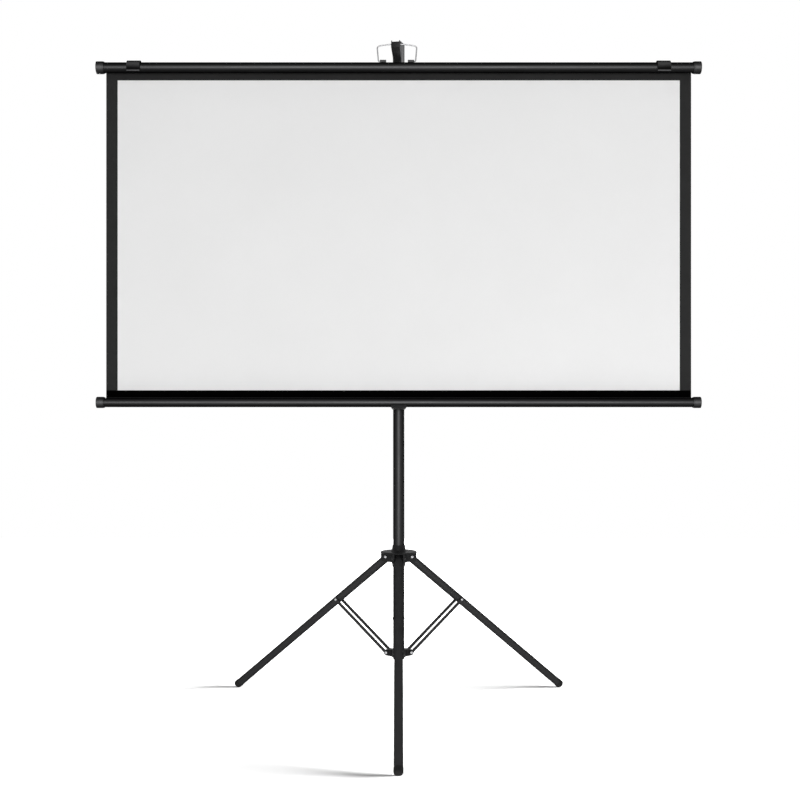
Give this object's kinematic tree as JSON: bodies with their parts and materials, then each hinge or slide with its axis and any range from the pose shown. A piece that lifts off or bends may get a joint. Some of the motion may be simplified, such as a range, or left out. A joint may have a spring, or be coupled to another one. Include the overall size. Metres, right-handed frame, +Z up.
{
  "type": "tripod projection screen",
  "caption": "Portable projection screen: a white viewing surface with black borders stretched between two tubes on a telescopic pole with folding braced legs",
  "frame": {"origin": "On the floor under the centre of the whole object's box, with the screen open at full height", "axes": "+Z up, +X to the right seen from the audience, -Y towards the audience (the viewing side)"},
  "size_m": [1.4252, 0.7416, 1.599],
  "materials": {
    "black_tube": "black satin coated tube",
    "leg_paint": "black semi-gloss paint on steel",
    "black_moulding": "fine-grained black moulding",
    "foot_rubber": "matt black rubber",
    "rivet_steel": "bright zinc-plated steel",
    "bail_chrome": "bright plated wire",
    "black_fabric": "black coated screen cloth",
    "white_surface": "matt white projection coating",
    "hem_tape": "black welded hem tape"
  },
  "bodies": {
    "pole": {"outer_pole": "black_tube", "pole_end_plug": "black_moulding", "brace_collar": "black_moulding", "collar_set_screw": "rivet_steel", "collar_rivet_front": "rivet_steel", "collar_rivet_rear_left": "rivet_steel", "collar_rivet_rear_right": "rivet_steel", "lock_collar": "black_moulding", "screen_fabric": "black_fabric", "viewing_surface": "white_surface", "bottom_hem": "hem_tape"},
    "brace_front": {"brace_strip_front_a": "leg_paint", "brace_strip_front_b": "leg_paint"},
    "leg_front": {"leg_front": "leg_paint", "foot_cap_front": "foot_rubber", "leg_rivet_front": "rivet_steel"},
    "hub": {"leg_hub": "black_moulding", "hub_rivet_front": "rivet_steel", "hub_rivet_rear_left": "rivet_steel", "hub_rivet_rear_right": "rivet_steel"},
    "hub_knob": {"hub_lock_knob": "black_moulding", "hub_lock_screw": "rivet_steel"},
    "leg_rear_left": {"leg_rear_left": "leg_paint", "foot_cap_rear_left": "foot_rubber", "leg_rivet_rear_left": "rivet_steel"},
    "leg_rear_right": {"leg_rear_right": "leg_paint", "foot_cap_rear_right": "foot_rubber", "leg_rivet_rear_right": "rivet_steel"},
    "brace_rear_left": {"brace_strip_rear_left_a": "leg_paint", "brace_strip_rear_left_b": "leg_paint"},
    "brace_rear_right": {"brace_strip_rear_right_a": "leg_paint", "brace_strip_rear_right_b": "leg_paint"},
    "mast": {"mast_tube": "black_tube", "mast_bushing": "black_moulding", "top_hook": "black_moulding", "hook_pin": "rivet_steel", "top_tube": "black_tube", "top_cap_left": "black_moulding", "top_cap_right": "black_moulding", "clamp_batten": "black_tube", "bail_bracket_left": "black_moulding", "bail_bracket_right": "black_moulding", "batten_rivet_1": "rivet_steel", "batten_rivet_2": "rivet_steel", "batten_rivet_3": "rivet_steel", "batten_rivet_4": "rivet_steel"},
    "mast_knob": {"mast_lock_knob": "black_moulding", "mast_lock_screw": "rivet_steel"},
    "bail": {"bail": "bail_chrome"},
    "clip_left": {"wall_clip_left": "black_moulding"},
    "clip_right": {"wall_clip_right": "black_moulding"},
    "bottom_roller": {"bottom_tube": "black_tube", "bottom_cap_left": "black_moulding", "bottom_cap_right": "black_moulding"}
  },
  "joints": [
    {"name": "leg_fold", "type": "hinge", "parent": "pole", "child": "brace_front", "pos_m": [0, 0.09092, 0.13981], "axis": [-1, 0, 0], "range_deg": [0, 47.4]},
    {"name": "leg_front_swing", "type": "hinge", "parent": "brace_front", "child": "leg_front", "pos_m": [0, -0.05288, 0.25461], "axis": [1, 0, 0], "range_deg": [0, 94.8]},
    {"name": "hub_swing", "type": "hinge", "parent": "leg_front", "child": "hub", "pos_m": [0, 0.09092, 0.3694], "axis": [-1, 0, 0], "range_deg": [0, 47.4]},
    {"name": "leg_rear_left_swing", "type": "hinge", "parent": "hub", "child": "leg_rear_left", "pos_m": [-0.02468, 0.13367, 0.3694], "axis": [-0.5, -0.866, 0], "range_deg": [0, 47.4]},
    {"name": "brace_rear_left_swing", "type": "hinge", "parent": "leg_rear_left", "child": "brace_rear_left", "pos_m": [-0.14922, 0.20557, 0.25461], "axis": [0.5, 0.866, 0], "range_deg": [0, 94.8]},
    {"name": "leg_rear_right_swing", "type": "hinge", "parent": "hub", "child": "leg_rear_right", "pos_m": [0.02468, 0.13367, 0.3694], "axis": [-0.5, 0.866, 0], "range_deg": [0, 47.4]},
    {"name": "brace_rear_right_swing", "type": "hinge", "parent": "leg_rear_right", "child": "brace_rear_right", "pos_m": [0.14922, 0.20557, 0.25461], "axis": [0.5, -0.866, 0], "range_deg": [0, 94.8]},
    {"name": "hub_knob_turn", "type": "hinge", "parent": "hub", "child": "hub_knob", "pos_m": [0, 0.11942, 0.3544], "axis": [0, 1, 0], "range_deg": [0, 360]},
    {"name": "mast_slide", "type": "slide", "parent": "pole", "child": "mast", "axis": [0, 0, 1], "range_m": [-0.48, 0], "deforming": ["screen_fabric", "viewing_surface", "bottom_hem"]},
    {"name": "mast_knob_turn", "type": "hinge", "parent": "pole", "child": "mast_knob", "pos_m": [0, 0.11942, 0.744], "axis": [0, 1, 0], "range_deg": [0, 360]},
    {"name": "bail_swing", "type": "hinge", "parent": "mast", "child": "bail", "pos_m": [0, 0.08342, 1.5437], "axis": [1, 0, 0], "range_deg": [-3, 3]},
    {"name": "clip_left_slide", "type": "slide", "parent": "mast", "child": "clip_left", "axis": [1, 0, 0], "range_m": [-0.05, 0.55]},
    {"name": "clip_right_slide", "type": "slide", "parent": "mast", "child": "clip_right", "axis": [1, 0, 0], "range_m": [-0.55, 0.05]},
    {"name": "roller_turn", "type": "hinge", "parent": "pole", "child": "bottom_roller", "pos_m": [0, 0.08472, 0.7389], "axis": [1, 0, 0], "range_deg": [-2330, 0]}
  ],
  "couplings": [
    {"joint": "leg_front_swing", "follows": "leg_fold", "ratio": 2},
    {"joint": "hub_swing", "follows": "leg_fold", "ratio": 1},
    {"joint": "leg_rear_left_swing", "follows": "leg_fold", "ratio": 1},
    {"joint": "brace_rear_left_swing", "follows": "leg_fold", "ratio": 2},
    {"joint": "leg_rear_right_swing", "follows": "leg_fold", "ratio": 1},
    {"joint": "brace_rear_right_swing", "follows": "leg_fold", "ratio": 2},
    {"joint": "roller_turn", "follows": "mast_slide", "rad_per_m": 84.388}
  ]
}
